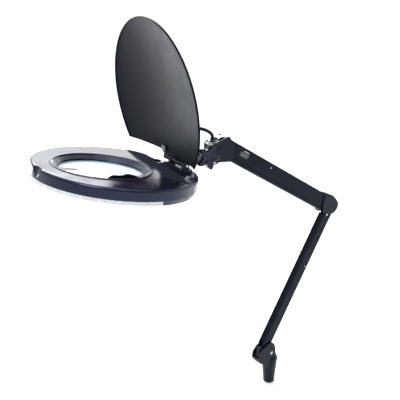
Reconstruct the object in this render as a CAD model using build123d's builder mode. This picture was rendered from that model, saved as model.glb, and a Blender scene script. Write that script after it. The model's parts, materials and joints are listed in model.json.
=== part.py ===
from build123d import *
from math import cos, radians, sin, tan
import os

os.makedirs("parts", exist_ok=True)

# ---------------------------------------------------------------------------
# Magnifying lamp on a two-stage parallelogram arm. Millimetres, +Z up.
# Origin: mouth of the mounting bore under the post. The lamp reaches towards
# -X, its star knob is on the -Y side (the near side).
# ---------------------------------------------------------------------------

# Arms: both stages have the same pivot distance
arm_length = 295.0
lower_rise = 57.76          # direction of the lower arm, degrees above +X
upper_rise = 148.05         # direction of the upper arm, degrees from +X
sheet = 1.2                 # sheet steel of the channels
gap = 0.3                   # side play between nested layers
pin_radius = 2.0
running_gap = 0.06

# Pivot pair of each stage: distance between its two pins and their direction
lower_pair, lower_pair_angle = 10.0, 127.8
upper_pair, upper_pair_angle = 20.0, 68.0

# Half widths of the nested layers, from the inside out
rib_half = 4.0
lower_link_half = 5.4
lower_arm_half = 6.9
upper_link_half = 8.3
upper_arm_half = 9.8
knuckle_inner, knuckle_outer = lower_arm_half + gap, 10.2
elbow_inner, elbow_outer = upper_arm_half + gap, 12.1
fork_inner, fork_outer = upper_arm_half + gap, 12.6

# Places along the arm line, as (x, z)
elbow_lower_mid = (135.0, 322.8)
elbow_upper_mid = (125.5, 331.4)

# Post and bore
bore_radius, bore_length = 6.1, 38.0
post_foot_radius, post_top_radius, post_height = 10.3, 14.2, 47.0

# Head swivel and tilt
swivel_x = -140.5
swivel_turn = 5.7           # the head is swung this far off the arm's plane
tilt_reach, tilt_height = 22.0, 480.5
head_tilt = 9.5             # front edge raised
tilt_back, tilt_up = 142.0, 19.7

# Head, in its own frame: x forward, y to the near side, z up from its top
head_radius, rim_round = 121.5, 4.0
wall_depth, wall = 16.3, 2.2
lens_offset, bezel_radius, lens_radius, lens_view = 22.5, 73.4, 63.5, 61.2
chord_back = 65.6
dome_radius, dome_rise = 550.5, 13.4
cap_radius = head_radius - rim_round
diffuser_radius, diffuser_depth = 121.8, 5.5
rear_depth, rear_split = 7.0, -14.0

# Lid and its hinge
hinge_back, hinge_up, lid_open = 86.0, 14.0, 74.4
lid_radius, lid_sheet, lid_rim_low = 124.0, 1.8, -1.0
lid_chord = 74.0

# Cable
cable_radius = 2.8

# ---------------------------------------------------------------------------
# Frames worked out from the driving dimensions
# ---------------------------------------------------------------------------


def polar(distance, angle):
    """Step in the XZ plane."""
    return Vector(distance * cos(radians(angle)), 0, distance * sin(radians(angle)))


def pair(middle, distance, angle):
    """The two pins of a pivot pair, far end of the pair direction last."""
    half = polar(distance / 2, angle)
    centre = Vector(middle[0], 0, middle[1])
    return centre - half, centre + half


lower_step = polar(arm_length, lower_rise)
upper_step = polar(arm_length, upper_rise)
elbow_arm_pin, elbow_link_pin = pair(elbow_lower_mid, lower_pair, lower_pair_angle)
base_arm_pin, base_link_pin = elbow_arm_pin - lower_step, elbow_link_pin - lower_step
elbow_low_pin, elbow_high_pin = pair(elbow_upper_mid, upper_pair, upper_pair_angle)
fork_low_pin, fork_high_pin = elbow_low_pin + upper_step, elbow_high_pin + upper_step


def arm_plane(start, rise):
    """Side plane of an arm: x runs along it, y points to its link's side."""
    return Plane(origin=start, x_dir=polar(1, rise), z_dir=(0, -1, 0))


lower_arm_plane = arm_plane(base_arm_pin, lower_rise)
lower_link_plane = arm_plane(base_link_pin, lower_rise)
upper_arm_plane = arm_plane(elbow_high_pin, upper_rise)
upper_link_plane = arm_plane(elbow_low_pin, upper_rise)

swing = radians(swivel_turn)
tilt = radians(head_tilt)
ahead = Vector(-cos(swing), sin(swing), 0)          # level direction of the head
far_side = Vector(sin(swing), cos(swing), 0)
forward = ahead * cos(tilt) + Vector(0, 0, sin(tilt))
head_up = ahead * -sin(tilt) + Vector(0, 0, cos(tilt))
tilt_point = Vector(swivel_x, 0, tilt_height) + ahead * tilt_reach
head_centre = tilt_point + forward * tilt_back - head_up * tilt_up

swivel_top = Plane(origin=(swivel_x, 0, 0), x_dir=ahead, z_dir=(0, 0, 1))
swivel_side = Plane(origin=(swivel_x, 0, 0), x_dir=ahead, z_dir=far_side)
tilt_side = Plane(origin=tilt_point, x_dir=ahead, z_dir=far_side)
head = Plane(origin=head_centre, x_dir=forward, z_dir=head_up)
head_side = Plane(origin=head_centre, x_dir=forward, z_dir=far_side)

# The lid's own frame lies on its rim when it is shut, then turns about the hinge
opening = radians(lid_open)
lid_forward = forward * cos(opening) + head_up * sin(opening)
lid_up = forward * -sin(opening) + head_up * cos(opening)
hinge_point = head_centre - forward * hinge_back + head_up * hinge_up
lid_centre = hinge_point + lid_forward * hinge_back - lid_up * hinge_up
lid = Plane(origin=lid_centre, x_dir=lid_forward, z_dir=lid_up)
lid_side = Plane(origin=lid_centre, x_dir=lid_forward, z_dir=far_side)


def write(piece, node):
    """Label one finished piece and write its STEP file."""
    piece.part.label = node
    export_step(piece.part, f"parts/{node}.step")


def flat(point):
    """A point of the arm's side plane as sketch coordinates."""
    return (point.X, point.Z)


def discs(plane, radius, places, low, high, mode=Mode.ADD):
    """Round studs or holes along a plane's normal, from low to high."""
    with BuildSketch(plane.offset(low)) as faces:
        with Locations(*places):
            Circle(radius)
    extrude(faces.sketch, amount=high - low, mode=mode)


def across(plane, radius, places, half, mode=Mode.ADD):
    """Round pins or holes that cross the lamp, the same length on both sides."""
    with BuildSketch(plane) as faces:
        with Locations(*places):
            Circle(radius)
    extrude(faces.sketch, amount=half, both=True, mode=mode)


# ---------------------------------------------------------------------------
# Arms: folded channels with ears at both ends
# ---------------------------------------------------------------------------


def channel(plane, half, web_at, edge_at, ear, trim, cross_holes):
    """U channel: web at y = web_at, walls to y = edge_at, web and walls stop
    trim short of the pivots, round ears carry the pivot holes."""
    inward = 1 if edge_at > web_at else -1
    depth = abs(edge_at - web_at)
    middle = arm_length / 2
    with BuildPart() as piece:
        with BuildSketch(plane):
            with Locations((middle, (web_at + edge_at) / 2)):
                Rectangle(arm_length - 2 * trim, depth)
        extrude(amount=half, both=True)
        along = Axis(plane.origin, plane.x_dir)
        outwards = Axis(plane.origin, plane.y_dir * -inward)
        fillet(piece.edges().filter_by(along).group_by(outwards)[-1], 1.0)
        with BuildSketch(plane):
            with Locations((trim / 2, 0), (arm_length - trim / 2, 0)):
                Rectangle(trim, 2 * ear)
            with Locations((0, 0), (arm_length, 0)):
                Circle(ear)
        extrude(amount=half, both=True)
        with BuildSketch(plane):
            with Locations((middle, web_at + inward * (sheet + depth))):
                Rectangle(arm_length + 4 * ear, 2 * depth)
            with Locations((trim / 2 - ear, 0), (arm_length - trim / 2 + ear, 0)):
                Rectangle(trim + 2 * ear, 4 * depth)
        extrude(amount=half - sheet, both=True, mode=Mode.SUBTRACT)
        across(plane, pin_radius + running_gap, [(0, 0), (arm_length, 0)], 2 * half, Mode.SUBTRACT)
        if cross_holes:
            across(plane, anchor_radius, cross_holes, 2 * half, Mode.SUBTRACT)
    return piece


anchor_radius = 1.2
lower_anchor = (178.0, 1.0)
upper_anchor = (178.0, 3.0)

lower_arm_channel = channel(lower_arm_plane, lower_arm_half, -4.4, 13.8, 4.4, 14.0, [lower_anchor])
write(lower_arm_channel, "lower_arm_channel")
lower_link_channel = channel(lower_link_plane, lower_link_half, 3.4, -3.1, 3.4, 16.0, [])
write(lower_link_channel, "lower_link_channel")
upper_arm_channel = channel(upper_arm_plane, upper_arm_half, -5.0, 18.5, 5.0, 16.0, [upper_anchor])
write(upper_arm_channel, "upper_arm_channel")
upper_link_channel = channel(upper_link_plane, upper_link_half, 5.6, -3.9, 4.4, 16.0, [])
write(upper_link_channel, "upper_link_channel")

with BuildPart() as lower_anchor_pin:
    across(lower_arm_plane, anchor_radius, [lower_anchor], lower_arm_half)
write(lower_anchor_pin, "lower_anchor_pin")

with BuildPart() as upper_anchor_pin:
    across(upper_arm_plane, anchor_radius, [upper_anchor], upper_arm_half)
write(upper_anchor_pin, "upper_anchor_pin")


def spring_plane(plane, start, height, side):
    """Cross-section plane of a spring that runs along an arm."""
    origin = plane.origin + plane.x_dir * start + plane.y_dir * height + Vector(0, side, 0)
    return Plane(origin=origin, x_dir=plane.y_dir, z_dir=plane.x_dir)


spring_start, spring_end = 26.0, 172.0
with BuildPart() as lower_spring:
    with BuildSketch(spring_plane(lower_arm_plane, spring_start, 4.0, 0)):
        Circle(3.4)
    extrude(amount=spring_end - spring_start)
write(lower_spring, "lower_spring")

with BuildPart() as upper_springs:
    for side in (-3.5, 3.5):
        with BuildSketch(spring_plane(upper_arm_plane, spring_start, 4.6, side)):
            Circle(3.1)
        extrude(amount=spring_end - spring_start)
write(upper_springs, "upper_springs")

# Rating label on the near wall of the upper arm, close to the head end
label_along, label_length, label_height = 247.0, 26.0, 13.0
with BuildPart() as rating_label:
    with BuildSketch(upper_arm_plane.offset(upper_arm_half)) as label_face:
        with Locations((label_along, 5.0)):
            Rectangle(label_length, label_height)
        fillet(label_face.vertices(), 1.0)
    extrude(amount=0.25)
write(rating_label, "rating_label")

# ---------------------------------------------------------------------------
# Base: moulded knuckle on a tapered post, with a socket bush for the clamp pin
# ---------------------------------------------------------------------------

fork_floor = 62.5
cheek_outline = [
    (-34, 55), (-36, 63), (-34, 72.5), (-26, 80.5), (-16, 86.5),
    (-6, 90), (1, 84), (4.5, 75), (5, 64), (13, 46), (-13, 40),
]
with BuildPart() as base_knuckle:
    with BuildSketch(Plane.XY):
        Circle(post_foot_radius)
    with BuildSketch(Plane.XY.offset(post_height)):
        Circle(post_top_radius)
    loft()
    fillet(base_knuckle.faces().sort_by(Axis.Z)[0].edges(), 1.4)
    with BuildSketch(Plane.XZ) as cheek_face:
        Polygon(*cheek_outline, align=None)
        fillet(cheek_face.vertices(), 4.5)
    extrude(amount=knuckle_outer, both=True)
    # dome over the post where it runs up into the cheeks
    with Locations((0, 0, post_height)):
        Sphere(post_top_radius)
    # the fork: a slot as wide as the lower arm, open at the top and both ends
    with BuildSketch(Plane.XY.offset(fork_floor)):
        with Locations((-15, 0)):
            Rectangle(70, 2 * knuckle_inner)
    extrude(amount=40, mode=Mode.SUBTRACT)
    # central rib that carries the link's pin
    with BuildSketch(Plane.XZ) as rib_face:
        Polygon((-33, 60), (-11, 60), (-13, 73), (-21.5, 82), (-29, 81), align=None)
        fillet(rib_face.vertices().group_by(Axis.Z)[-2:], 3.0)
    extrude(amount=rib_half, both=True)
    across(Plane.XZ, pin_radius, [flat(base_link_pin)], rib_half, Mode.SUBTRACT)
    across(Plane.XZ, pin_radius, [flat(base_arm_pin)], knuckle_outer - 1.2, Mode.SUBTRACT)
    discs(Plane.XY, bore_radius + 1.4, [(0, 0)], 0, bore_length, Mode.SUBTRACT)
    # a shallow seat for the cover screw in the near and the far cheek
    for face in (Plane.XZ.offset(knuckle_outer - 1.5), Plane.XZ.offset(1.5 - knuckle_outer)):
        with BuildSketch(face):
            with Locations((-4.5, 66)):
                Circle(3.0)
        extrude(amount=1.5 if face.origin.Y < 0 else -1.5, mode=Mode.SUBTRACT)
write(base_knuckle, "base_knuckle")

with BuildPart() as socket_bush:
    with BuildSketch(Plane.XY):
        Circle(bore_radius + 1.4)
        Circle(bore_radius, mode=Mode.SUBTRACT)
    extrude(amount=bore_length)
write(socket_bush, "socket_bush")

with BuildPart() as base_pivot_pins:
    across(Plane.XZ, pin_radius, [flat(base_arm_pin)], knuckle_outer - 1.2)
    across(Plane.XZ, pin_radius, [flat(base_link_pin)], lower_link_half + 0.1)
write(base_pivot_pins, "base_pivot_pins")

with BuildPart() as base_screws:
    for face in (Plane.XZ.offset(knuckle_outer - 1.5), Plane.XZ.offset(1.5 - knuckle_outer)):
        outward = 1 if face.origin.Y < 0 else -1
        with BuildSketch(face):
            with Locations((-4.5, 66)):
                Circle(2.9)
        extrude(amount=1.1 * outward)
        with BuildSketch(face.offset(0.5 * outward)):
            with Locations((-4.5, 66)):
                Rectangle(3.4, 0.9)
                Rectangle(0.9, 3.4)
        extrude(amount=0.8 * outward, mode=Mode.SUBTRACT)
write(base_screws, "base_screws")

# ---------------------------------------------------------------------------
# Elbow: cap with two cheeks and a round back, core and four pins
# ---------------------------------------------------------------------------

cap_outline = [
    (109.5, 352.5), (124, 353), (133, 349.5), (142, 341), (148, 333),
    (149.2, 326), (145.5, 318), (136.5, 312.6), (119, 315), (110.5, 321), (107.6, 333),
]
cap_hollow = [
    (90, 370), (129.5, 370), (129.5, 349), (132.6, 347.2), (140.4, 339.8), (145.8, 332.4),
    (147.2, 326.4), (143.8, 319), (143.8, 300), (90, 300),
]
with BuildPart() as elbow_cap:
    with BuildSketch(Plane.XZ) as cap_face:
        Polygon(*cap_outline, align=None)
        fillet(cap_face.vertices().sort_by(Axis.X)[3:], 5.0)
    extrude(amount=elbow_outer, both=True)
    rims = elbow_cap.edges().filter_by(Plane.XZ)
    fillet(rims, 1.2)
    with BuildSketch(Plane.XZ):
        Polygon(*cap_hollow, align=None)
    extrude(amount=elbow_inner, both=True, mode=Mode.SUBTRACT)
    across(Plane.XZ, pin_radius, [flat(elbow_high_pin), flat(elbow_arm_pin), flat(elbow_low_pin)],
           elbow_outer - 1.0, Mode.SUBTRACT)
write(elbow_cap, "elbow_cap")

stub_inner = 7.2
elbow_pins = [elbow_high_pin, elbow_arm_pin, elbow_link_pin]
with BuildPart() as elbow_core:
    with BuildSketch(Plane.XZ):
        with Locations(*[flat(pin) for pin in elbow_pins]):
            Circle(4.6)
        make_hull()
    extrude(amount=rib_half, both=True)
    across(Plane.XZ, pin_radius, [flat(pin) for pin in elbow_pins], rib_half, Mode.SUBTRACT)
write(elbow_core, "elbow_core")

with BuildPart() as elbow_pivot_pins:
    across(Plane.XZ, pin_radius, [flat(elbow_high_pin), flat(elbow_arm_pin)], elbow_outer - 1.0)
    # the low pin is two stubs, so that the lower stage can swing between them
    for side in (-1, 1):
        discs(Plane.XZ, pin_radius, [flat(elbow_low_pin)], side * stub_inner, side * (elbow_outer - 1.0))
    across(Plane.XZ, pin_radius, [flat(elbow_link_pin)], lower_link_half + 0.1)
write(elbow_pivot_pins, "elbow_pivot_pins")

# ---------------------------------------------------------------------------
# Head fork: shell, metal core with the swivel barrel, pins and bushes
# ---------------------------------------------------------------------------

fork_outline = [
    (-153.1, 494.4), (-117, 503.3), (-110.6, 494.5), (-105.7, 480),
    (-113.5, 461.1), (-142.4, 465.4), (-153.1, 468),
]
nose_end = -133.6
barrel_radius, barrel_low, barrel_high = 9.5, 463.8, 495.0
spindle_radius, spindle_bore = 4.0, 2.4
bush_radius = 6.0
with BuildPart() as fork_shell:
    with BuildSketch(Plane.XZ) as fork_face:
        Polygon(*fork_outline, align=None)
        fillet(fork_face.vertices().sort_by(Axis.X)[3:], 3.0)
    extrude(amount=fork_outer, both=True)
    nose_edges = fork_shell.edges().filter_by(Axis.Z).group_by(Axis.X)[0]
    fillet(nose_edges, 9.0)
    with BuildSketch(Plane.XZ):
        with Locations((nose_end + 25, 480)):
            Rectangle(50, 80)
    extrude(amount=fork_inner, both=True, mode=Mode.SUBTRACT)
    discs(swivel_top, barrel_radius, [(0, 0)], 450, 510, Mode.SUBTRACT)
    across(Plane.XZ, pin_radius, [flat(fork_high_pin)], fork_outer - 1.0, Mode.SUBTRACT)
    # oval recess in the outside of both cheeks
    for side in (-1, 1):
        with BuildSketch(Plane.XZ.offset(-side * fork_outer)):
            with Locations(Location((-134.5, 489.5), 14)):
                SlotOverall(11, 3.6)
        extrude(amount=side * 1.2, mode=Mode.SUBTRACT)
write(fork_shell, "fork_shell")

crown_centre, crown_radius, crown_half = (-127.0, 489.0), 14.2, 6.6
with BuildPart() as fork_core:
    discs(swivel_top, barrel_radius, [(0, 0)], barrel_low, barrel_high)
    with BuildSketch(Plane.XZ):
        with Locations(crown_centre):
            Circle(crown_radius)
        with Locations(flat(fork_low_pin)):
            Circle(4.2)
        with Locations((-152, 489)):
            Rectangle(36, 40, mode=Mode.SUBTRACT)
    extrude(amount=crown_half, both=True)
    with BuildSketch(Plane.XZ):
        with Locations((-134, 478)):
            Rectangle(10, 22)
    extrude(amount=crown_half, both=True)
    discs(swivel_top, bush_radius, [(0, 0)], barrel_low, barrel_high, Mode.SUBTRACT)
    discs(swivel_top, 8.2, [(0, 0)], barrel_high, barrel_high + 10, Mode.SUBTRACT)
    discs(swivel_top, 8.2, [(0, 0)], barrel_low - 10, barrel_low, Mode.SUBTRACT)
    across(Plane.XZ, pin_radius, [flat(fork_high_pin), flat(fork_low_pin)], crown_half, Mode.SUBTRACT)
write(fork_core, "fork_core")

with BuildPart() as fork_pivot_pins:
    across(Plane.XZ, pin_radius, [flat(fork_high_pin)], fork_outer - 1.0)
    across(Plane.XZ, pin_radius, [flat(fork_low_pin)], upper_link_half + 0.1)
write(fork_pivot_pins, "fork_pivot_pins")

with BuildPart() as swivel_bushes:
    for low, high, flange_low, flange_high in (
        (barrel_low, barrel_low + 10, barrel_low - 1.6, barrel_low),
        (barrel_high - 10, barrel_high, barrel_high, barrel_high + 1.2),
    ):
        discs(swivel_top, bush_radius, [(0, 0)], low, high)
        discs(swivel_top, 8.0, [(0, 0)], flange_low, flange_high)
    discs(swivel_top, spindle_radius + running_gap, [(0, 0)], 450, 510, Mode.SUBTRACT)
write(swivel_bushes, "swivel_bushes")

# ---------------------------------------------------------------------------
# Swivel: spindle, yoke with two ears, tilt bolt and washers
# ---------------------------------------------------------------------------

plate_low, plate_high = 457.5, 461.6
ear_inner, ear_outer, eye_radius = 4.1, 7.6, 6.5
bolt_radius = 2.5
nut_low = barrel_high + 1.5
nut_high = nut_low + 2.6
grommet_top = nut_high + 3.0
with BuildPart() as swivel_spindle:
    discs(swivel_top, spindle_radius, [(0, 0)], plate_low, nut_high)
    discs(swivel_top, 6.5, [(0, 0)], plate_low - 2.0, plate_low)
    discs(swivel_top, spindle_bore, [(0, 0)], plate_low - 2.0, nut_high, Mode.SUBTRACT)
write(swivel_spindle, "swivel_spindle")

with BuildPart() as swivel_nut:
    with BuildSketch(swivel_top.offset(nut_low)):
        RegularPolygon(7.0, 6)
        Circle(spindle_radius, mode=Mode.SUBTRACT)
    extrude(amount=nut_high - nut_low)
write(swivel_nut, "swivel_nut")

with BuildPart() as swivel_grommet:
    with BuildSketch(swivel_top.offset(nut_high)):
        Circle(4.4)
    extrude(amount=grommet_top - nut_high, taper=12)
write(swivel_grommet, "swivel_grommet")

with BuildPart() as swivel_yoke:
    with BuildSketch(swivel_top.offset(plate_low)):
        Circle(10.0)
        with Locations((8.2, 0)):
            Rectangle(16.4, 2 * ear_outer)
    extrude(amount=plate_high - plate_low)
    with BuildSketch(swivel_side):
        Polygon((10, plate_low), (19, plate_low), (28.4, tilt_height - 2), (28.4, tilt_height),
                (15.6, tilt_height), (15.6, plate_high + 0.4), (10, plate_high), align=None)
        with Locations((tilt_reach, tilt_height)):
            Circle(eye_radius)
    extrude(amount=ear_outer, both=True)
    with BuildSketch(swivel_side):
        with Locations((tilt_reach + 5, tilt_height)):
            Rectangle(23.2, 60)
    extrude(amount=ear_inner, both=True, mode=Mode.SUBTRACT)
    discs(swivel_top, spindle_radius, [(0, 0)], plate_low, plate_high, Mode.SUBTRACT)
    across(tilt_side, bolt_radius, [(0, 0)], 2 * ear_outer, Mode.SUBTRACT)
write(swivel_yoke, "swivel_yoke")

knob_near, knob_far = -27.0, -15.5          # the knob's faces along the bolt
with BuildPart() as tilt_bolt:
    discs(tilt_side, bolt_radius, [(0, 0)], -22.0, ear_outer)
    with BuildSketch(tilt_side.offset(ear_outer)):
        RegularPolygon(5.0, 6)
    extrude(amount=3.4)
write(tilt_bolt, "tilt_bolt")

with BuildPart() as tilt_washers:
    for outer, low, high in ((9.5, -9.4, -7.6), (7.5, -12.2, -9.4), (8.5, -13.8, -12.2)):
        discs(tilt_side, outer, [(0, 0)], low, high)
    discs(tilt_side, bolt_radius, [(0, 0)], -14, -7, Mode.SUBTRACT)
write(tilt_washers, "tilt_washers")

# Star knob: five rounded lobes about a hub
lobe_place, lobe_radius, hub_radius = 16.2, 4.8, 9.0
insert_radius = 4.5
with BuildPart() as star_knob:
    with BuildSketch(tilt_side.offset(knob_near)):
        Circle(hub_radius + 1.5)
        with PolarLocations(lobe_place / 2, 5, start_angle=42):
            SlotCenterToCenter(lobe_place, 2 * lobe_radius)
    extrude(amount=knob_far - knob_near - 2.0)
    fillet(star_knob.faces().sort_by(Axis(tilt_point, far_side))[0].edges(), 1.8)
    discs(tilt_side, hub_radius, [(0, 0)], knob_far - 2.0, knob_far)
    discs(tilt_side, insert_radius, [(0, 0)], knob_near + 4.0, knob_far, Mode.SUBTRACT)
write(star_knob, "star_knob")

with BuildPart() as knob_insert:
    discs(tilt_side, insert_radius, [(0, 0)], knob_near + 4.0, knob_far)
    discs(tilt_side, bolt_radius + running_gap, [(0, 0)], knob_near + 4.0, knob_far, Mode.SUBTRACT)
write(knob_insert, "knob_insert")

# ---------------------------------------------------------------------------
# Head: housing, dome behind the chord, lens, light and covers
# ---------------------------------------------------------------------------

mid_depth = -wall_depth
notch_radius, notch_taper = 26.0, 22.5
notch_place = (head_radius + 20.0, 8.5)
with BuildPart() as upper_housing:
    with BuildSketch(head.offset(mid_depth)):
        Circle(head_radius)
    extrude(amount=wall_depth)
    top_rim = upper_housing.faces().sort_by(Axis(head_centre, head_up))[-1].edges()
    fillet(top_rim, rim_round)
    with BuildSketch(head.offset(mid_depth)):
        Circle(head_radius - wall)
    extrude(amount=wall_depth - wall, mode=Mode.SUBTRACT)
    with BuildSketch(head.offset(mid_depth)):
        with Locations((lens_offset, 0)):
            Circle(bezel_radius)
    extrude(amount=wall_depth, mode=Mode.SUBTRACT)
    # scooped finger notch in the front rim, with its own wall behind it
    with BuildPart(mode=Mode.PRIVATE) as notch_wall:
        with BuildSketch(head):
            with Locations(notch_place):
                Circle(notch_radius + wall)
        extrude(amount=-wall_depth, taper=notch_taper)
        with BuildSketch(head.offset(mid_depth)):
            Circle(head_radius - 0.8)
        extrude(amount=wall_depth - 0.8, mode=Mode.INTERSECT)
    add(notch_wall.part)
    with BuildSketch(head):
        with Locations(notch_place):
            Circle(notch_radius)
    extrude(amount=-wall_depth, taper=notch_taper, mode=Mode.SUBTRACT)
    # slot for the rocker switch
    switch_place, switch_angle = (-53.0, 85.5), 63.0
    switch_length, switch_width = 15.0, 6.0
    with BuildSketch(head.offset(-wall)):
        with Locations(Location(switch_place, switch_angle)):
            Rectangle(switch_length, switch_width)
    extrude(amount=wall, mode=Mode.SUBTRACT)
write(upper_housing, "upper_housing")


def dome_ball(radius, rise, mode):
    """Ball whose top is the shallow dome over the head."""
    with Locations(head.location * Location((0, 0, rise - dome_radius))):
        Sphere(radius, mode=mode)


relief_place, relief_radius = (-108.0, -24.0), 5.6
clip_spans = ((-6.5, 3.5),)
lid_under = dome_rise + 0.5 - lid_chord ** 2 / (2 * dome_radius)
with BuildPart() as rear_cap:
    with BuildSketch(head):
        Circle(cap_radius)
        with Locations((head_radius - chord_back, 0)):
            Rectangle(2 * head_radius, 3 * head_radius, mode=Mode.SUBTRACT)
    extrude(amount=dome_rise + 4)
    dome_ball(dome_radius, dome_rise, Mode.INTERSECT)
    with BuildPart(mode=Mode.PRIVATE) as cap_inside:
        with BuildSketch(head.offset(-1.0)):
            Circle(cap_radius - wall)
            with Locations((head_radius - chord_back - wall, 0)):
                Rectangle(2 * head_radius, 3 * head_radius, mode=Mode.SUBTRACT)
        extrude(amount=dome_rise + 4)
        dome_ball(dome_radius - wall, dome_rise, Mode.INTERSECT)
    add(cap_inside.part, mode=Mode.SUBTRACT)
    # notch in the top of the arched wall
    with BuildSketch(head.offset(6.6)):
        with Locations((-chord_back, 2)):
            Rectangle(9.0, 18.0)
    extrude(amount=10, mode=Mode.SUBTRACT)
    # pockets that the lid's clips drop into
    with BuildSketch(head.offset(lid_under - 2.7)):
        with Locations(*[(-70.4, (low + high) / 2) for low, high in clip_spans]):
            Rectangle(11.6, 11.0)
    extrude(amount=10, mode=Mode.SUBTRACT)
    # hole for the cable's relief
    with BuildSketch(head.offset(-1.0)):
        with Locations(relief_place):
            Circle(relief_radius)
    extrude(amount=10, mode=Mode.SUBTRACT)
write(rear_cap, "rear_cap")

# Bezel: a dished ring from the housing's top down to the lens
with BuildPart() as bezel_ring:
    with BuildSketch(head_side):
        with BuildLine():
            Polyline((lens_offset + lens_view, -6.0), (lens_offset + lens_view, -8.2),
                     (lens_offset + bezel_radius, -4.0), (lens_offset + bezel_radius, 0.9),
                     (lens_offset + bezel_radius - 1.6, 1.3), (lens_offset + bezel_radius - 4, 0.3),
                     (lens_offset + bezel_radius - 5.5, -2.2), (lens_offset + lens_view, -6.0))
        make_face()
    revolve(axis=Axis(head_centre + forward * lens_offset, head_up))
write(bezel_ring, "bezel_ring")

lens_axis = Axis(head_centre + forward * lens_offset, head_up)
lens_rim_top, lens_rim_low = -8.6, -11.8
lens_ball, lens_rise = 460.0, 4.4
with BuildPart() as lens:
    with BuildSketch(head.offset(lens_rim_low - lens_rise)):
        with Locations((lens_offset, 0)):
            Circle(lens_radius)
    extrude(amount=lens_rim_top - lens_rim_low + 2 * lens_rise)
    for ball_centre in (lens_rim_top + lens_rise - lens_ball, lens_rim_low - lens_rise + lens_ball):
        with Locations(head.location * Location((lens_offset, 0, ball_centre))):
            Sphere(lens_ball, mode=Mode.INTERSECT)
write(lens, "lens")


def ring(plane, centre, outer, inner, low, high):
    """Round ring about a place of the head's top plane."""
    with BuildSketch(plane.offset(low)) as faces:
        with Locations(centre):
            Circle(outer)
            Circle(inner, mode=Mode.SUBTRACT)
    extrude(faces.sketch, amount=high - low)


lens_centre = (lens_offset, 0)
floor_low = mid_depth - diffuser_depth
barrel_wall = 1.6
with BuildPart() as lens_barrel:
    ring(head, lens_centre, lens_radius + barrel_wall + 0.2, lens_radius + 0.2, floor_low, -8.6)
    ring(head, lens_centre, lens_radius + 0.2, lens_radius - 0.8, -14.0, lens_rim_low - 0.2)
write(lens_barrel, "lens_barrel")

board_outer, board_inner = 88.0, 68.0
board_low, board_high = -11.0, -9.4
with BuildPart() as led_board:
    ring(head, lens_centre, board_outer, board_inner, board_low, board_high)
write(led_board, "led_board")

led_count = 60
with BuildPart() as leds:
    with BuildSketch(head.offset(board_low - 0.9)):
        with Locations(lens_centre):
            with PolarLocations(78.0, led_count):
                Rectangle(2.8, 3.5)
    extrude(amount=0.9)
write(leds, "leds")

with BuildPart() as reflector:
    with BuildSketch(head_side):
        with BuildLine():
            Polyline((lens_offset + 66.0, board_high), (lens_offset + 92.0, board_high),
                     (lens_offset + 95.0, mid_depth), (lens_offset + 96.2, mid_depth),
                     (lens_offset + 93.2, board_high + 1.2), (lens_offset + 66.0, board_high + 1.2),
                     (lens_offset + 66.0, board_high))
        make_face()
    revolve(axis=lens_axis)
write(reflector, "reflector")

# Diffuser: a tray with an outer wall, cut straight across behind the lens
with BuildPart() as diffuser:
    with BuildSketch(head.offset(floor_low)):
        Circle(diffuser_radius)
        with Locations((rear_split - head_radius, 0)):
            Rectangle(2 * head_radius, 3 * head_radius, mode=Mode.SUBTRACT)
    extrude(amount=diffuser_depth)
    with BuildSketch(head.offset(floor_low + 1.8)):
        Circle(diffuser_radius - 2.0)
    extrude(amount=diffuser_depth, mode=Mode.SUBTRACT)
    with BuildSketch(head.offset(floor_low)):
        with Locations(lens_centre):
            Circle(lens_radius + 2.1)
    extrude(amount=diffuser_depth, mode=Mode.SUBTRACT)
write(diffuser, "diffuser")

with BuildPart() as rear_lower_housing:
    with BuildSketch(head.offset(mid_depth)):
        Circle(head_radius)
        with Locations((rear_split + head_radius + 0.2 - 0.4, 0)):
            Rectangle(2 * head_radius, 3 * head_radius, mode=Mode.SUBTRACT)
    extrude(amount=-rear_depth, taper=20)
    with BuildSketch(head.offset(mid_depth)):
        Circle(head_radius - 4.0)
        with Locations((rear_split + head_radius - 2.6, 0)):
            Rectangle(2 * head_radius, 3 * head_radius, mode=Mode.SUBTRACT)
    extrude(amount=2.0 - rear_depth, taper=20, mode=Mode.SUBTRACT)
    with BuildSketch(head.offset(mid_depth - rear_depth)):
        with Locations(lens_centre):
            Circle(lens_radius + 2.1)
    extrude(amount=rear_depth, mode=Mode.SUBTRACT)
write(rear_lower_housing, "rear_lower_housing")

# Driver board in the rear, with its parts
driver_top = mid_depth + 4.0
with BuildPart() as driver_board:
    with BuildSketch(head.offset(driver_top - 1.6)):
        with Locations((-93, 0)):
            Rectangle(30, 84)
    extrude(amount=1.6)
write(driver_board, "driver_board")

with BuildPart() as driver_parts:
    with BuildSketch(head.offset(driver_top)):
        with Locations((-93, -24), (-90, 3), (-99, 24)):
            Rectangle(11, 14)
    extrude(amount=7)
    with BuildSketch(head.offset(driver_top)):
        with Locations((-85, -36), (-102, -8), (-87, 30)):
            Circle(3.6)
    extrude(amount=8)
write(driver_parts, "driver_parts")

with BuildPart() as switch_frame:
    with BuildSketch(head.offset(-wall)):
        with Locations(Location(switch_place, switch_angle)):
            Rectangle(switch_length, switch_width)
            Rectangle(switch_length - 2.4, switch_width - 2.0, mode=Mode.SUBTRACT)
    extrude(amount=wall)
    with BuildSketch(head):
        with Locations(Location(switch_place, switch_angle)):
            RectangleRounded(switch_length + 2.4, switch_width + 2.4, 1.2)
            Rectangle(switch_length - 2.4, switch_width - 2.0, mode=Mode.SUBTRACT)
    extrude(amount=0.6)
write(switch_frame, "switch_frame")

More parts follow.
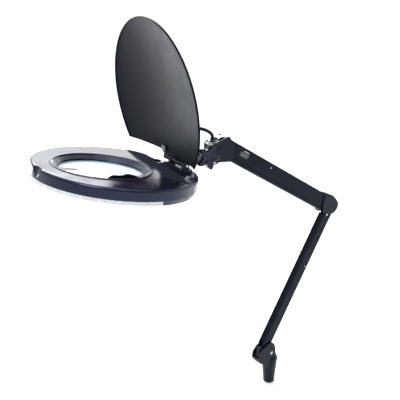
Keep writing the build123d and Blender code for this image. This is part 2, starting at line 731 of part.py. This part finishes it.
# Rocker: a shallow V over its pivot, one end down
switch_turn = Vector(forward * cos(radians(switch_angle)) - far_side * sin(radians(switch_angle)))
switch_centre = head_centre + forward * switch_place[0] - far_side * switch_place[1]
rocker_plane = Plane(origin=switch_centre, x_dir=switch_turn, z_dir=switch_turn.cross(head_up))
rocker_half = (switch_width - 2.6) / 2
with BuildPart() as switch_rocker:
    with BuildSketch(rocker_plane):
        Polygon((-5.7, -1.6), (5.7, -1.6), (5.9, 2.6), (0, 0.9), (-5.9, 0.9), align=None)
    extrude(amount=rocker_half, both=True)
write(switch_rocker, "switch_rocker")

with BuildPart() as housing_screws:
    with BuildSketch(head.offset(mid_depth - rear_depth)):
        with Locations((-96, -34), (-96, 34), (-64, -78), (-64, 78)):
            Circle(3.4)
    extrude(amount=-1.4, taper=18)
write(housing_screws, "housing_screws")

# Tongue: eye on the tilt bolt, neck down to a foot that follows the dome
with BuildPart() as head_tongue:
    with BuildSketch(head_side):
        with Locations((-tilt_back, tilt_up)):
            Circle(eye_radius)
        Polygon((-tilt_back - 4.6, tilt_up - 4.6), (-126, -1), (-97, -3), (-97, 6), (-112, 9),
                (-tilt_back + 4.6, tilt_up + 4.6), align=None)
    extrude(amount=ear_inner - gap, both=True)
    with BuildSketch(head.offset(-3)):
        with Locations((-106, 0)):
            RectangleRounded(20, 24, 4)
    extrude(amount=9.0)
    dome_ball(dome_radius, dome_rise, Mode.SUBTRACT)
    across(head_side, bolt_radius + running_gap, [(-tilt_back, tilt_up)], 10, Mode.SUBTRACT)
write(head_tongue, "head_tongue")

# Hinge of the lid: fixed knuckles on the dome, pin, and the lid's arm
hinge_at = (-hinge_back, hinge_up)
knuckle_radius, hinge_pin_radius = 4.6, 1.6
fixed_knuckles = ((8.0, 14.2), (46.4, 53.0))
arm_knuckles = ((-9.0, 7.6), (14.6, 46.0))


def between(plane, near_low, near_high, sketch, mode=Mode.ADD):
    """Extrude a side profile from one distance towards the near side to another."""
    moved = sketch.sketch.moved(Location(far_side * -near_low))
    extrude(moved, amount=near_high - near_low, dir=far_side * -1, mode=mode)


with BuildPart() as hinge_block:
    for low, high in fixed_knuckles:
        with BuildSketch(head_side) as knuckle:
            with Locations(hinge_at):
                Circle(knuckle_radius)
            Polygon((-hinge_back - 7, 0), (-hinge_back + 7, 0), (-hinge_back + 4.3, hinge_up - 1),
                    (-hinge_back - 4.3, hinge_up - 1), align=None)
        between(head_side, low, high, knuckle)
    with BuildSketch(head_side) as foot:
        Polygon((-hinge_back - 9, 0), (-hinge_back + 9, 0), (-hinge_back + 9, 8.6), (-hinge_back - 9, 7.8),
                align=None)
    between(head_side, 4.0, 55.0, foot)
    dome_ball(dome_radius, dome_rise, Mode.SUBTRACT)
    with BuildSketch(head_side) as bore:
        with Locations(hinge_at):
            Circle(hinge_pin_radius)
    between(head_side, -60, 60, bore, Mode.SUBTRACT)
write(hinge_block, "hinge_block")

with BuildPart() as hinge_pin:
    with BuildSketch(head_side) as pin_face:
        with Locations(hinge_at):
            Circle(hinge_pin_radius)
    between(head_side, -10.5, 54.5, pin_face)
write(hinge_pin, "hinge_pin")

# Lid: shallow dome with a turned rim, cut along the arched wall
with BuildPart() as lid_cover:
    with BuildSketch(lid.offset(lid_rim_low)):
        Circle(lid_radius)
        with Locations((-lid_chord - head_radius, 0)):
            Rectangle(2 * head_radius, 3 * head_radius, mode=Mode.SUBTRACT)
    extrude(amount=20)
    with Locations(lid.location * Location((0, 0, dome_rise + lid_sheet + 0.5 - dome_radius))):
        Sphere(dome_radius, mode=Mode.INTERSECT)
    with BuildPart(mode=Mode.PRIVATE) as lid_inside:
        with BuildSketch(lid.offset(lid_rim_low - 1)):
            Circle(lid_radius - lid_sheet)
        extrude(amount=22)
        with Locations(lid.location * Location((0, 0, dome_rise + 0.5 - dome_radius))):
            Sphere(dome_radius, mode=Mode.INTERSECT)
    add(lid_inside.part, mode=Mode.SUBTRACT)
    fillet(lid_cover.edges().filter_by(GeomType.CIRCLE).sort_by(SortBy.LENGTH)[-1], 0.6)
write(lid_cover, "lid_cover")

# Arm of the lid: knuckles on the pin, prongs that run to the underside of the lid's edge
hinge_in_lid = (-hinge_back, hinge_up)
prong_end = -lid_chord + 7.0
with BuildPart() as lid_hinge_arm:
    for low, high in arm_knuckles:
        with BuildSketch(lid_side) as prong:
            with Locations(hinge_in_lid):
                Circle(knuckle_radius - 0.2)
            Polygon((-hinge_back - 1, hinge_up + 4.2), (-lid_chord - 4, hinge_up + 2.6),
                    (-lid_chord, lid_under + 3.0), (-lid_chord, lid_under - 0.3),
                    (-hinge_back + 3.4, hinge_up - 2.6), align=None)
        between(lid_side, low, high, prong)
    with BuildSketch(lid_side) as lip:
        Polygon((-lid_chord, lid_under + 3.0), (-lid_chord - 4, hinge_up + 2.6),
                (-lid_chord - 5, hinge_up + 0.4), (-lid_chord - 3.6, lid_under + 0.4),
                (-lid_chord, lid_under + 0.4), align=None)
    between(lid_side, arm_knuckles[0][0], arm_knuckles[1][1], lip)
    with BuildSketch(lid_side) as bore:
        with Locations(hinge_in_lid):
            Circle(hinge_pin_radius + running_gap)
    between(lid_side, -60, 60, bore, Mode.SUBTRACT)
write(lid_hinge_arm, "lid_hinge_arm")

with BuildPart() as lid_clips:
    for low, high in clip_spans:
        with BuildSketch(lid_side) as clip:
            Polygon((-lid_chord, lid_under - 2.1), (prong_end, lid_under - 1.6),
                    (prong_end, lid_under - 0.1), (-lid_chord, lid_under - 0.65), align=None)
        between(lid_side, low, high, clip)
write(lid_clips, "lid_clips")

# Clips that hold the diffuser to the housing, beside its straight edge
with BuildPart() as diffuser_clips:
    for angle in (-94, 94):
        with BuildSketch(head.offset(floor_low)):
            with PolarLocations(diffuser_radius - 3.4, 1, start_angle=angle):
                Rectangle(2.4, 7.0)
        extrude(amount=-1.2)
write(diffuser_clips, "diffuser_clips")

# ---------------------------------------------------------------------------
# Cable: from a relief on the dome, in a loop over to the hollow spindle
# ---------------------------------------------------------------------------

relief_shoulder, relief_tip = 3.4, 13.0
run_out = 10.0              # straight length of the cable at each end
with BuildPart() as cable_relief:
    with BuildSketch(head):
        with Locations(relief_place):
            Circle(relief_radius)
    extrude(amount=relief_shoulder)
    with BuildSketch(head.offset(relief_shoulder)):
        with Locations(relief_place):
            Circle(relief_radius)
    extrude(amount=relief_tip - relief_shoulder, taper=9)
write(cable_relief, "cable_relief")

cable_exit = head_centre + forward * relief_place[0] - far_side * relief_place[1] + head_up * relief_tip
cable_end = Vector(swivel_x, 0, grommet_top)
leaving = cable_exit + head_up * run_out
arriving = cable_end + Vector(0, 0, run_out / 2)
cable_route = [
    (cable_exit.X, cable_exit.Y, cable_exit.Z),
    (leaving.X, leaving.Y, leaving.Z),
    (-186.0, 26.0, 503.0),
    (-179.5, 21.5, 513.0),
    (-170.0, 15.0, 518.5),
    (-158.0, 8.0, 518.5),
    (-147.5, 2.5, 513.5),
    (arriving.X, arriving.Y, arriving.Z),
    (cable_end.X, cable_end.Y, cable_end.Z),
]


def arc_radii(route):
    """Largest radii for tangent arcs: 0.45 of the shorter run over tan(half turn)."""
    points = [Vector(*place) for place in route]
    radii = []
    for before, here, after in zip(points, points[1:], points[2:]):
        turn = (here - before).get_angle(after - here)
        run = min((here - before).length, (after - here).length)
        radii.append(0.45 * run / tan(radians(turn) / 2))
    return radii


cable_radii = arc_radii(cable_route)
print("cable arc radii", [round(radius, 1) for radius in cable_radii])
with BuildPart() as head_cable:
    with BuildLine() as cable_line:
        FilletPolyline(*cable_route, radius=cable_radii)
    start = cable_line.wires()[0] @ 0
    with BuildSketch(Plane(origin=start, z_dir=cable_line.wires()[0] % 0)):
        Circle(cable_radius)
    sweep()
cable_length = cable_line.wires()[0].length
print("cable length", round(cable_length, 1), "volume ratio",
      round(head_cable.part.volume / (3.14159265 * cable_radius ** 2 * cable_length), 4))
write(head_cable, "head_cable")
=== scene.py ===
import json
from math import cos, pi, radians, sin, sqrt

import bmesh
import bpy
from mathutils import Matrix, Vector


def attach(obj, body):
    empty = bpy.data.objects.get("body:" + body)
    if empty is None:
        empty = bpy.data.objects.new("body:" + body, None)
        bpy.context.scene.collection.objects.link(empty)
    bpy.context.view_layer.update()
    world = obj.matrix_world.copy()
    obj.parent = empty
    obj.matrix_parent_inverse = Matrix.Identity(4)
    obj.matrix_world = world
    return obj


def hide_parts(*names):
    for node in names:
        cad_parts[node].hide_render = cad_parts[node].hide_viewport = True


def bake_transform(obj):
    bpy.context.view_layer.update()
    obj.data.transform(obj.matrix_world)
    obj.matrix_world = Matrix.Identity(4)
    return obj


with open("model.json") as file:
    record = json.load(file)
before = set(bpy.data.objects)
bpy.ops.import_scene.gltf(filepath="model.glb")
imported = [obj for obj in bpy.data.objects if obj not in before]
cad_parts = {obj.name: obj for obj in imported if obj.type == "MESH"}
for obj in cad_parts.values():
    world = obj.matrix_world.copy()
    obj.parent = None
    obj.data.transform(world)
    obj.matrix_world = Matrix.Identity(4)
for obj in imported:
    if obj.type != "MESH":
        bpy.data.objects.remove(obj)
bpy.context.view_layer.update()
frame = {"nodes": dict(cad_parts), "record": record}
MM = 0.001

# ---------------------------------------------------------------------------
# Frames of the lamp, the same as in the CAD source, in metres
# ---------------------------------------------------------------------------

# The head swings about the upright swivel, then tilts about the knob's bolt
swing, tilt = radians(5.7), radians(9.5)
ahead = Vector((-cos(swing), sin(swing), 0))
far_side = Vector((sin(swing), cos(swing), 0))
forward = ahead * cos(tilt) + Vector((0, 0, sin(tilt)))
head_up = ahead * -sin(tilt) + Vector((0, 0, cos(tilt)))
swivel_x, bolt_height, spindle_top = -0.1405, 0.4805, 0.5021
yoke_reach, head_reach, head_drop = 0.022, 0.142, 0.0197
tilt_point = Vector((swivel_x, 0, bolt_height)) + ahead * yoke_reach
head_centre = tilt_point + forward * head_reach - head_up * head_drop

# Each arm starts at its lower pivot and climbs at its own angle
lower_pivot, lower_rise = (-0.0193, 0, 0.0693), radians(57.76)
upper_pivot, upper_rise = (0.1292, 0, 0.3407), radians(148.05)


def basis(origin, x_axis, y_axis, z_axis):
    """Matrix that takes local millimetres to the lamp's frame."""
    place = Matrix.Identity(4)
    for column, axis in enumerate((x_axis, y_axis, z_axis)):
        for row in range(3):
            place[row][column] = axis[row] * MM
    for row in range(3):
        place[row][3] = origin[row]
    return place


head_frame = basis(head_centre, forward, far_side * -1, head_up)
knob_frame = basis(tilt_point, ahead, far_side.cross(ahead), far_side)


def arm_frame(start, rise):
    """x along the arm, y across the lamp, z square to both."""
    along = Vector((cos(rise), 0, sin(rise)))
    up = Vector((-along.z, 0, along.x))
    return basis(start, along, up.cross(along), up)


lower_frame = arm_frame(lower_pivot, lower_rise)
upper_frame = arm_frame(upper_pivot, upper_rise)

# ---------------------------------------------------------------------------
# Materials
# ---------------------------------------------------------------------------


class Finish:
    """A principled material with nodes for its grain, colour drift and roughness."""

    def __init__(self, name, colour, rough, metallic=0.0):
        self.material = bpy.data.materials.new(name)
        self.material.use_nodes = True
        self.tree = self.material.node_tree
        self.shader = self.tree.nodes["Principled BSDF"]
        self.shader.inputs["Base Color"].default_value = (*colour, 1)
        self.shader.inputs["Roughness"].default_value = rough
        self.shader.inputs["Metallic"].default_value = metallic
        self.colour, self.rough = colour, rough
        self.place = self.tree.nodes.new("ShaderNodeTexCoord").outputs["Object"]

    def node(self, kind, **inputs):
        made = self.tree.nodes.new(kind)
        for key, value in inputs.items():
            socket = made.inputs[key.replace("_", " ")]
            if isinstance(value, bpy.types.NodeSocket):
                self.tree.links.new(value, socket)
            else:
                socket.default_value = value
        return made

    def noise(self, scale, detail=4.0):
        made = self.node("ShaderNodeTexNoise", Vector=self.place, Scale=scale, Detail=detail)
        return made.outputs["Fac"]

    def ramp(self, value, low, high, dark=0.0, light=1.0):
        made = self.node("ShaderNodeMapRange", Value=value, From_Min=low, From_Max=high,
                         To_Min=dark, To_Max=light)
        return made.outputs["Result"]

    def colours(self, fac, first, second):
        """Mix of two colours by a 0 to 1 value."""
        made = self.tree.nodes.new("ShaderNodeMix")
        made.data_type = "RGBA"
        made.inputs[6].default_value = (*first, 1)
        made.inputs[7].default_value = (*second, 1)
        self.tree.links.new(fac, made.inputs[0])
        return made.outputs[2]

    def vary_rough(self, scale, spread):
        value = self.ramp(self.noise(scale), 0.3, 0.7, self.rough - spread, self.rough + spread)
        self.tree.links.new(value, self.shader.inputs["Roughness"])

    def vary_colour(self, scale, other):
        blend = self.ramp(self.noise(scale, 3.0), 0.35, 0.7)
        self.tree.links.new(self.colours(blend, self.colour, other), self.shader.inputs["Base Color"])

    def grain(self, scale, depth, round_edge=0.0):
        """Fine surface grain, over edges softened by a small radius."""
        made = self.node("ShaderNodeBump", Height=self.noise(scale, 6.0), Strength=0.6, Distance=depth)
        if round_edge:
            soft = self.tree.nodes.new("ShaderNodeBevel")
            soft.samples = 4
            soft.inputs["Radius"].default_value = round_edge
            self.tree.links.new(soft.outputs["Normal"], made.inputs["Normal"])
        self.tree.links.new(made.outputs["Normal"], self.shader.inputs["Normal"])

    def maths(self, operation, first, second):
        made = self.tree.nodes.new("ShaderNodeMath")
        made.operation = operation
        for socket, value in zip(made.inputs, (first, second)):
            if isinstance(value, bpy.types.NodeSocket):
                self.tree.links.new(value, socket)
            else:
                socket.default_value = value
        return made.outputs[0]

    def band(self, value, centre, half):
        """1 inside centre +- half, else 0."""
        gap = self.maths("SUBTRACT", value, centre)
        return self.maths("LESS_THAN", self.maths("ABSOLUTE", gap, 0.0), half)

    def set(self, **values):
        for key, value in values.items():
            self.shader.inputs[key.replace("_", " ")].default_value = value


def plastic(name, colour, rough, other, grain, depth, edge):
    """Moulded surface that drifts between two colours."""
    made = Finish(name, colour, rough)
    made.vary_rough(55.0, 0.05)
    made.vary_colour(18.0, other)
    made.grain(grain, depth, edge)
    return made


def metal(name, colour, rough, grain=400.0, depth=3e-6):
    """Bare metal with an uneven roughness."""
    made = Finish(name, colour, rough, 1.0)
    made.vary_rough(160.0, 0.08)
    made.grain(grain, depth, 0.0002)
    return made


moulded = plastic("moulded_plastic", (0.005, 0.005, 0.009), 0.38, other=(0.009, 0.009, 0.014),
                  grain=2200.0, depth=8e-6, edge=0.0006)
painted = plastic("painted_steel", (0.002, 0.002, 0.006), 0.34, other=(0.004, 0.004, 0.009),
                  grain=3200.0, depth=7e-6, edge=0.0005)
gloss = plastic("gloss_housing", (0.003, 0.004, 0.015), 0.17, other=(0.005, 0.006, 0.017),
                grain=1500.0, depth=8e-7, edge=0.0005)
lid_black = plastic("lid_plastic", (0.003, 0.003, 0.007), 0.34, other=(0.004, 0.004, 0.008),
                    grain=1600.0, depth=5e-6, edge=0.0004)
knob_black = plastic("knob_plastic", (0.003, 0.003, 0.008), 0.15, other=(0.006, 0.006, 0.012),
                     grain=900.0, depth=4e-6, edge=0.0004)
switch_black = plastic("switch_plastic", (0.006, 0.006, 0.008), 0.18, other=(0.009, 0.009, 0.011),
                       grain=700.0, depth=2e-6, edge=0.0003)
clip_grey = plastic("clip_plastic", (0.16, 0.165, 0.175), 0.38, other=(0.20, 0.205, 0.215),
                    grain=1500.0, depth=4e-6, edge=0.0003)
nylon = plastic("nylon", (0.62, 0.61, 0.57), 0.45, other=(0.68, 0.67, 0.63),
                grain=900.0, depth=4e-6, edge=0.0002)
rubber = plastic("rubber", (0.013, 0.013, 0.014), 0.62, other=(0.019, 0.019, 0.020),
                 grain=2600.0, depth=9e-6, edge=0.0003)
flex_black = plastic("cable", (0.010, 0.010, 0.012), 0.42, other=(0.014, 0.014, 0.016),
                     grain=1800.0, depth=6e-6, edge=0.0)
white = plastic("white_plastic", (0.80, 0.82, 0.84), 0.28, other=(0.76, 0.78, 0.80),
                grain=800.0, depth=3e-6, edge=0.0003)
board = plastic("circuit_board", (0.74, 0.76, 0.75), 0.40, other=(0.68, 0.71, 0.70),
                grain=1400.0, depth=4e-6, edge=0.0)
component = plastic("component", (0.03, 0.03, 0.035), 0.45, other=(0.05, 0.05, 0.055),
                    grain=1200.0, depth=6e-6, edge=0.0003)

# Highlights on the dark finishes are dim and slightly navy
navy_sheen = (0.62, 0.70, 1.0, 1)
for finish, level in ((moulded, 0.20), (painted, 0.14), (gloss, 0.50), (lid_black, 0.05),
                      (knob_black, 0.40), (flex_black, 0.25), (switch_black, 0.6)):
    finish.set(Specular_IOR_Level=level, Specular_Tint=navy_sheen)

steel = metal("steel", (0.56, 0.57, 0.59), 0.32)
chrome = metal("chrome", (0.78, 0.79, 0.81), 0.10, grain=250.0, depth=1e-6)
spring_wire = metal("spring_steel", (0.36, 0.36, 0.38), 0.30, grain=900.0, depth=2e-6)
zinc = metal("zinc", (0.62, 0.63, 0.65), 0.30, grain=700.0, depth=3e-6)
brass = metal("brass", (0.68, 0.50, 0.22), 0.28)

glass = Finish("lens_glass", (0.66, 0.86, 0.91), 0.015)
glass.set(Transmission_Weight=1.0, IOR=1.52)
glass.vary_rough(40.0, 0.008)
glass.grain(12.0, 2e-6)

clear = Finish("clear_clip", (0.82, 0.86, 0.88), 0.08)
clear.set(Transmission_Weight=0.8, IOR=1.49)
clear.vary_rough(200.0, 0.05)
clear.grain(500.0, 3e-6, 0.0002)

frosted = Finish("diffuser", (0.74, 0.78, 0.81), 0.26)
frosted.set(Transmission_Weight=0.35, IOR=1.49, Subsurface_Weight=0.35, Subsurface_Scale=0.004)
frosted.vary_rough(70.0, 0.08)
frosted.grain(1300.0, 1.5e-6, 0.0005)

phosphor = Finish("led", (0.92, 0.84, 0.42), 0.35)
phosphor.vary_colour(900.0, (0.95, 0.93, 0.80))
phosphor.grain(1800.0, 8e-6, 0.0002)

# Label: grey bars on dark film, laid out in the upper arm's own frame
film, print_grey = (0.004, 0.004, 0.009), (0.30, 0.31, 0.34)
label = Finish("label", film, 0.34)
label.set(Specular_IOR_Level=0.14)
label_place = label.node("ShaderNodeMapping", Vector=label.place)
label_place.vector_type = "TEXTURE"
label_place.inputs["Location"].default_value = upper_pivot
label_place.inputs["Rotation"].default_value = (0, -upper_rise, 0)
split = label.node("ShaderNodeSeparateXYZ", Vector=label_place.outputs["Vector"])
bars = None
for along, up, half_length, half_height in (
        (0.2440, 0.0006, 0.0060, 0.0010), (0.2465, 0.0042, 0.0100, 0.0004),
        (0.2455, 0.0068, 0.0090, 0.0004), (0.2475, 0.0092, 0.0085, 0.0004)):
    bar = label.maths("MULTIPLY", label.band(split.outputs["X"], along, half_length),
                      label.band(split.outputs["Z"], up, half_height))
    bars = bar if bars is None else label.maths("MAXIMUM", bars, bar)
label.tree.links.new(label.colours(bars, film, print_grey), label.shader.inputs["Base Color"])
label.grain(700.0, 2e-6, 0.0002)

# Every CAD node takes the finish that its record row names
finishes = {
    "moulded_plastic": moulded, "brass": brass, "steel": steel, "painted_steel": painted,
    "spring_steel": spring_wire, "zinc": zinc, "label": label, "chrome": chrome, "nylon": nylon,
    "rubber": rubber, "cable": flex_black, "knob_plastic": knob_black, "gloss_housing": gloss,
    "lens_glass": glass, "white_plastic": white, "circuit_board": board, "led": phosphor,
    "diffuser": frosted, "component": component, "switch_plastic": switch_black,
    "clear_clip": clear, "lid_plastic": lid_black, "clip_plastic": clip_grey,
}
for part in frame["record"]["subparts"]:
    thing = frame["nodes"][part["node"]]
    thing.data.materials.clear()
    thing.data.materials.append(finishes[part["material_slot"]].material)


def curve_mesh(name, curve):
    """Mesh of a curve, whose own object is taken away again."""
    shape = bpy.data.objects.new(name + "_line", curve)
    bpy.context.scene.collection.objects.link(shape)
    bpy.context.view_layer.update()
    drawn = shape.evaluated_get(bpy.context.evaluated_depsgraph_get())
    mesh = bpy.data.meshes.new_from_object(drawn)
    bpy.data.objects.remove(shape)
    mesh.materials.clear()
    return mesh


def piece(name, mesh, body, slot, *nodes, smooth=True):
    """Put one finished mesh on its body, in its finish, for the CAD nodes it stands for."""
    thing = bpy.data.objects.new(name, mesh)
    bpy.context.scene.collection.objects.link(thing)
    mesh.materials.append(finishes[slot].material)
    for face in mesh.polygons:
        face.use_smooth = smooth
    if body:
        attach(thing, body)
    if nodes:
        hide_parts(*nodes)
    return thing


def loops_mesh(name, rings, place, closed=False, capped=True):
    """Skin over rings of points, each ring the same length, placed by a matrix."""
    made = bmesh.new()
    rows = [[made.verts.new(place @ Vector(point)) for point in ring] for ring in rings]
    pairs = list(zip(rows, rows[1:])) + ([(rows[-1], rows[0])] if closed else [])
    for low, high in pairs:
        for step in range(len(low)):
            following = (step + 1) % len(low)
            made.faces.new((low[step], low[following], high[following], high[step]))
    if capped and not closed:
        made.faces.new(list(reversed(rows[0])))
        made.faces.new(rows[-1])
    bmesh.ops.recalc_face_normals(made, faces=made.faces)
    mesh = bpy.data.meshes.new(name)
    made.to_mesh(mesh)
    made.free()
    return mesh


def lathe(name, profile, place, centre=(0, 0), steps=160, closed=False):
    """Turn (radius, height) points about a line along z."""
    rings = []
    for radius, height in profile:
        rings.append([(centre[0] + radius * cos(2 * pi * step / steps),
                       centre[1] + radius * sin(2 * pi * step / steps), height)
                      for step in range(steps)])
    return loops_mesh(name, rings, place, closed)


# ---------------------------------------------------------------------------
# Pieces
# ---------------------------------------------------------------------------

# Lens: two shallow curved faces over a ground edge
lens_offset = 22.5
lens_radius, lens_ball, lens_crown = 63.45, 460.0, 4.35
lens_low, lens_high, edge_break = -11.8, -8.6, 0.2
face_radii = [0.6, 6, 14, 22, 30, 38, 46, 52, 57, 60.5, 62.6]


def crown(radius):
    """How far a lens face stands out of its rim at a radius."""
    return lens_crown - lens_ball + sqrt(lens_ball ** 2 - radius ** 2)


profile = [(radius, lens_low - crown(radius)) for radius in face_radii]
profile += [(lens_radius, lens_low + edge_break), (lens_radius, lens_high - edge_break)]
profile += [(radius, lens_high + crown(radius)) for radius in reversed(face_radii)]
piece("lens_turned", lathe("lens_turned", profile, head_frame, (lens_offset, 0)),
      "head", "lens_glass", "lens")

# Bezel: underside and rounded rim, then fine turned steps down to the lens
bezel_steps, step_pitch, step_drop = 4, 1.7, 1.15
profile = [(61.2, -6.1), (61.2, -8.1), (66.0, -6.7), (73.4, -4.1), (73.4, 0.6), (73.1, 1.0),
           (72.4, 1.25), (71.5, 1.25), (70.6, 0.95), (69.9, 0.45), (69.2, 0.0)]
for step in range(bezel_steps):
    radius = 68.6 - step_pitch * step
    height = -1.2 - step_drop * step
    profile += [(radius, height), (radius - 0.9, height - 0.12), (radius - 1.25, height - 0.3),
                (radius - 1.5, height - 0.95)]
profile.append((61.8, -5.75))
piece("bezel_turned", lathe("bezel_turned", profile, head_frame, (lens_offset, 0), 200, True),
      "head", "gloss_housing", "bezel_ring")


# Star knob: five soft lobes, crowned face, shallow dish about the insert
lobes, waist, lobe_reach, lobe_round = 5, 12.2, 8.7, 1.3
first_lobe, knob_steps = radians(42), 160


def star(scale, lift, drop):
    """One ring of the knob: the star scaled, then drawn in by a drop."""
    points = []
    for step in range(knob_steps):
        turn = 2 * pi * step / knob_steps
        lobe = 0.5 + 0.5 * cos(lobes * turn)
        radius = (waist + lobe_reach * lobe ** lobe_round) * scale - drop
        heading = turn + first_lobe
        points.append((radius * cos(heading), radius * sin(heading), lift))
    return points


knob_rings = [star(0.97, -15.7, 0.9), star(1.0, -16.6, 0.1), star(1.0, -24.6, 0.0),
              star(1.0, -25.9, 0.35), star(1.0, -26.6, 1.1), star(1.0, -26.95, 2.2),
              star(0.80, -26.75, 2.4), star(0.50, -26.2, 1.5), star(0.30, -26.0, 0.4)]
piece("star_knob_moulding", loops_mesh("star_knob_moulding", knob_rings, knob_frame),
      "knob", "knob_plastic", "star_knob")


# Springs: plain wire coils inside the channels, all of one length
spring_start, spring_end, coil_radius = 26.6, 171.4, 2.5
per_turn = 14


def coil(name, place, lines, wire, turns):
    """Mesh of one or more springs, each on its own (height, side) line."""
    curve = bpy.data.curves.new(name, "CURVE")
    curve.dimensions = "3D"
    curve.bevel_depth = wire * MM
    curve.bevel_resolution = 3
    for height, side in lines:
        spline = curve.splines.new("POLY")
        count = turns * per_turn
        spline.points.add(count)
        for step in range(count + 1):
            turn = 2 * pi * step / per_turn
            along = spring_start + (spring_end - spring_start) * step / count
            point = place @ Vector((along, side + coil_radius * cos(turn),
                                    height + coil_radius * sin(turn)))
            spline.points[step].co = (*point, 1)
    return curve_mesh(name, curve)


piece("lower_spring_coil", coil("lower_spring_coil", lower_frame, [(4.0, 0.0)], 0.55, 90),
      "lower_arm", "spring_steel", "lower_spring")
piece("upper_spring_coils",
      coil("upper_spring_coils", upper_frame, [(4.6, -3.5), (4.6, 3.5)], 0.5, 96),
      "upper_arm", "spring_steel", "upper_springs")

# Cable loop from the relief to the spindle
relief_point = head_centre + forward * -0.108 + far_side * 0.024 + head_up * 0.013
spindle_point = Vector((swivel_x, 0, spindle_top))
route = [relief_point, relief_point + head_up * 0.010, Vector((-0.1860, 0.0260, 0.5030)),
         Vector((-0.1795, 0.0215, 0.5130)), Vector((-0.1700, 0.0150, 0.5185)),
         Vector((-0.1580, 0.0080, 0.5185)), Vector((-0.1475, 0.0025, 0.5135)),
         spindle_point + Vector((0, 0, 0.005)), spindle_point]
cable_radius = 0.0028
line = bpy.data.curves.new("head_cable_line", "CURVE")
line.dimensions = "3D"
line.resolution_u = 12
spline = line.splines.new("NURBS")
spline.points.add(len(route) - 1)
for point, place in zip(spline.points, route):
    point.co = (*place, 1)
spline.order_u = 3
spline.use_endpoint_u = True
centre_line = [Vector(vertex.co) for vertex in curve_mesh("head_cable", line).vertices]
line.bevel_depth = cable_radius
line.bevel_resolution = 5
line.use_fill_caps = True
loop = piece("head_cable_loop", curve_mesh("head_cable", line), None, "cable", "head_cable")
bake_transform(loop)

# ---------------------------------------------------------------------------
# Floor, light and camera
# ---------------------------------------------------------------------------

# White paper floor, just below the base
floor_half = 60
floor_mesh = bpy.data.meshes.new("studio_floor")
corners = [(-floor_half, -floor_half, 0), (floor_half, -floor_half, 0),
           (floor_half, floor_half, 0), (-floor_half, floor_half, 0)]
floor_mesh.from_pydata(corners, [], [(0, 1, 2, 3)])
floor = bpy.data.objects.new("studio_floor", floor_mesh)
bpy.context.scene.collection.objects.link(floor)
floor.location.z = -0.0005
paper = Finish("studio_paper", (0.90, 0.90, 0.90), 0.85)
paper.vary_rough(3.0, 0.05)
floor_mesh.materials.append(paper.material)

# White surroundings, brighter toward +x and +y
world = bpy.data.worlds.new("studio")
world.use_nodes = True
sky = world.node_tree
heading = sky.nodes.new("ShaderNodeVectorMath")
heading.operation = "DOT_PRODUCT"
sky.links.new(sky.nodes.new("ShaderNodeTexCoord").outputs["Generated"], heading.inputs[0])
heading.inputs[1].default_value = (0.59, 0.77, 0.25)
fade = sky.nodes.new("ShaderNodeMapRange")
fade.interpolation_type = "SMOOTHSTEP"
for socket, value in (("From Min", -0.5), ("From Max", 0.75), ("To Min", 0.45), ("To Max", 1.15)):
    fade.inputs[socket].default_value = value
sky.links.new(heading.outputs["Value"], fade.inputs["Value"])
backdrop = sky.nodes["Background"]
backdrop.inputs["Color"].default_value = (1.0, 1.0, 1.0, 1)
sky.links.new(fade.outputs["Result"], backdrop.inputs["Strength"])
bpy.context.scene.world = world
bpy.context.scene.view_settings.view_transform = "Standard"


def softbox(name, place, target, size, power):
    """Square area light that faces a point."""
    lamp = bpy.data.lights.new(name, "AREA")
    lamp.size = size
    lamp.energy = power
    box = bpy.data.objects.new(name, lamp)
    box.location = place
    box.rotation_euler = (Vector(target) - Vector(place)).to_track_quat("-Z", "Y").to_euler()
    bpy.context.scene.collection.objects.link(box)


softbox("key", (-1.5, -0.6, 2.2), (-0.15, 0, 0.35), 0.9, 30)
softbox("back", (0.6, 1.7, 1.6), (-0.15, 0, 0.40), 1.2, 34)
softbox("lid_card", (-0.42, 1.7, 0.30), (-0.25, -0.05, 0.58), 0.40, 6.5)
softbox("top_card", (0.80, 2.00, 0.95), (-0.30, 0.02, 0.48), 0.9, 2.0)
softbox("cap_card", (1.05, 1.50, 0.42), (-0.20, -0.03, 0.48), 0.35, 2.0)

# The cards light the lamp and show in its gloss, but aren't seen themselves
for name in ("lid_card", "top_card", "cap_card"):
    bpy.data.objects[name].visible_camera = False

overhead = bpy.data.lights.new("overhead", "SUN")
overhead.energy = 1.4
overhead.angle = 1.2
bpy.context.scene.collection.objects.link(bpy.data.objects.new("overhead", overhead))

# Camera: level horizon, looking down on the lamp from -x and -y
camera_place, camera_pitch, camera_heading = (-0.7932, -0.8246, 0.7955), 69.35, -37.3
view = bpy.data.cameras.new("view")
view.sensor_width = 36
view.lens = 63.2
camera = bpy.data.objects.new("view", view)
camera.location = camera_place
camera.rotation_euler = (radians(camera_pitch), 0, radians(camera_heading))
bpy.context.scene.collection.objects.link(camera)
bpy.context.scene.camera = camera
